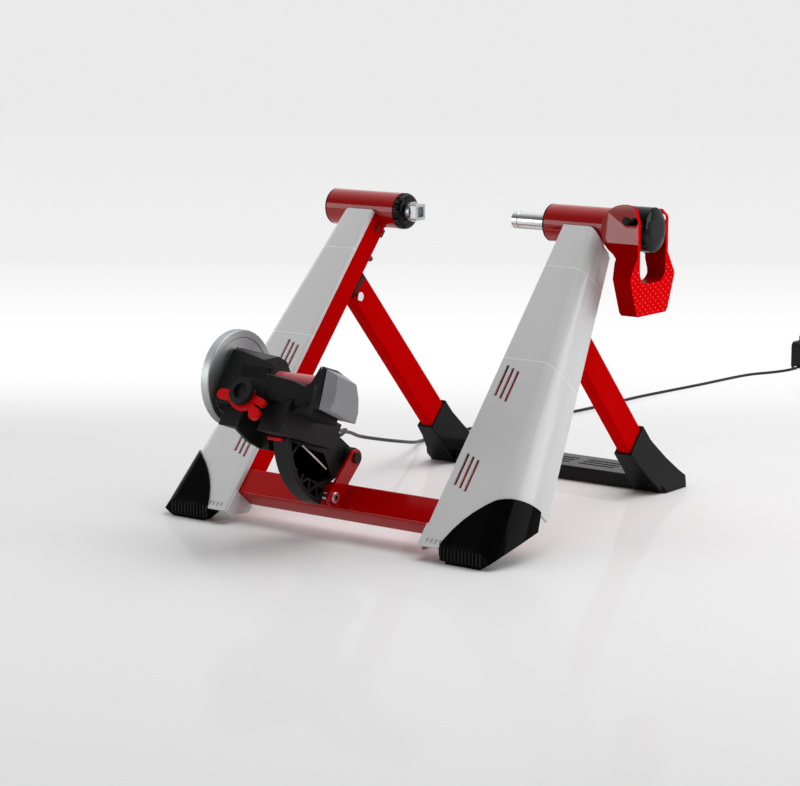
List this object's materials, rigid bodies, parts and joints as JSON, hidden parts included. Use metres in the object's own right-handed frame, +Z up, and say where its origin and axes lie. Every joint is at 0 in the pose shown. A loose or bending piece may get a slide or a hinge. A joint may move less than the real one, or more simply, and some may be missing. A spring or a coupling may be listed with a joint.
{
  "type": "folding magnetic bicycle trainer stand",
  "caption": "Folding magnetic indoor bicycle trainer with a red steel frame, white leg covers, rear axle clamp, roller unit and remote cable.",
  "frame": {"origin": "on the floor below the middle of the trainer, measured without the cable and its shifter", "axes": "+X along the wheel axle to the side with the clamp lever, +Y the way the bicycle faces, +Z up"},
  "size_m": [0.5753, 1.7333, 0.419],
  "materials": {
    "red_paint": "glossy paint",
    "red_plastic": "satin moulded plastic",
    "white_plastic": "glossy moulded plastic",
    "black_gloss": "glossy moulded plastic",
    "black_plastic": "fine grained moulded plastic",
    "grey_plastic": "satin moulded plastic",
    "black_rubber": "matte rubber",
    "chrome": "polished",
    "steel": "turned steel",
    "aluminium": "satin",
    "elastomer": "smooth elastomer"
  },
  "bodies": {
    "frame": {"left_leg_tube": "red_paint", "right_leg_tube": "red_paint", "left_leg_cover": "white_plastic", "right_leg_cover": "white_plastic", "left_front_foot": "black_gloss", "right_front_foot": "black_gloss", "left_fold_bumper": "grey_plastic", "right_fold_bumper": "grey_plastic", "left_top_clip": "black_plastic", "right_top_clip": "black_plastic", "left_cover_screw": "black_plastic", "right_cover_screw": "black_plastic", "cross_tube": "red_paint", "unit_bracket": "red_paint", "bracket_bolt": "chrome", "swing_pin": "black_plastic", "left_head_tube": "red_paint", "left_end_plug": "black_gloss", "left_cup_flange": "aluminium", "right_head_tube": "red_paint", "plunger_bush": "black_gloss", "cam_block": "black_gloss", "lever_pin": "black_plastic", "control_cable": "black_rubber", "cable_ferrule": "chrome", "shifter_body": "black_plastic"},
    "rear_frame": {"left_rear_leg": "red_paint", "right_rear_leg": "red_paint", "left_rear_leg_cap": "black_plastic", "right_rear_leg_cap": "black_plastic", "left_hinge_bolt": "chrome", "right_hinge_bolt": "chrome", "left_rear_foot": "black_rubber", "right_rear_foot": "black_rubber", "rear_cross_tube": "steel", "rear_bar_cover": "black_plastic"},
    "lock_ring": {"left_lock_ring": "black_gloss"},
    "axle_cup": {"left_cup_screw": "aluminium"},
    "plunger": {"clamp_plunger": "chrome", "plunger_spring": "steel"},
    "lever": {"clamp_lever": "red_paint"},
    "unit": {"unit_body": "black_plastic", "swing_arm": "black_plastic", "wire_link": "chrome", "left_side_block": "black_plastic", "label_plate": "black_plastic", "left_bearing": "steel", "right_bearing": "steel", "magnet_case_back": "black_plastic", "magnet_case_cover": "grey_plastic", "cable_gland": "black_rubber", "swing_stop": "red_plastic"},
    "rotor": {"roller": "elastomer", "roller_shaft": "steel", "flywheel": "chrome", "brake_rotor": "aluminium"},
    "knob": {"adjust_knob": "black_plastic"},
    "quick": {"quick_lever": "red_plastic"},
    "carrier": {"magnet_carrier": "black_plastic"},
    "shifter": {"shifter_lever": "black_plastic"}
  },
  "joints": [
    {"name": "rear_frame_fold", "type": "hinge", "parent": "frame", "child": "rear_frame", "pos_m": [0, 0.04961, 0.27], "axis": [-1, 0, 0], "range_deg": [0, 76], "deforming": ["control_cable"]},
    {"name": "lock_ring_turn", "type": "hinge", "parent": "frame", "child": "lock_ring", "pos_m": [-0.122, 0.1106, 0.385], "axis": [1, 0, 0], "range_deg": [0, 1080]},
    {"name": "axle_cup_reach", "type": "slide", "parent": "frame", "child": "axle_cup", "axis": [1, 0, 0], "range_m": [0, 0.0045]},
    {"name": "clamp_lever_swing", "type": "hinge", "parent": "frame", "child": "lever", "pos_m": [0.257, 0.1106, 0.398], "axis": [0, -1, 0], "range_deg": [0, 100]},
    {"name": "plunger_slide", "type": "slide", "parent": "frame", "child": "plunger", "axis": [1, 0, 0], "range_m": [0, 0.02]},
    {"name": "unit_swing", "type": "hinge", "parent": "frame", "child": "unit", "pos_m": [0, -0.17439, 0.1], "axis": [-1, 0, 0], "range_deg": [0, 28], "deforming": ["control_cable"]},
    {"name": "roller_spin", "type": "hinge", "parent": "unit", "child": "rotor", "pos_m": [0, -0.2764, 0.206], "axis": [1, 0, 0], "continuous": true},
    {"name": "adjust_knob_turn", "type": "hinge", "parent": "unit", "child": "knob", "pos_m": [-0.0395, -0.32616, 0.19742], "axis": [0, -0.8448, 0.5351], "range_deg": [0, 720]},
    {"name": "quick_lever_turn", "type": "hinge", "parent": "unit", "child": "quick", "pos_m": [-0.0395, -0.32616, 0.19742], "axis": [0, 0.8448, -0.5351], "range_deg": [0, 25]},
    {"name": "magnet_carrier_slide", "type": "slide", "parent": "unit", "child": "carrier", "axis": [1, 0, 0], "range_m": [0, 0.003]},
    {"name": "shifter_lever_turn", "type": "hinge", "parent": "frame", "child": "shifter", "pos_m": [-0.15, 1.3476, 0.053], "axis": [0, 0, 1], "range_deg": [0, 120]}
  ],
  "couplings": [
    {"joint": "axle_cup_reach", "follows": "lock_ring_turn", "m_per_rad": 0.00023873},
    {"joint": "plunger_slide", "follows": "clamp_lever_swing", "m_per_rad": 0.011459},
    {"joint": "magnet_carrier_slide", "follows": "shifter_lever_turn", "m_per_rad": 0.0014324}
  ]
}
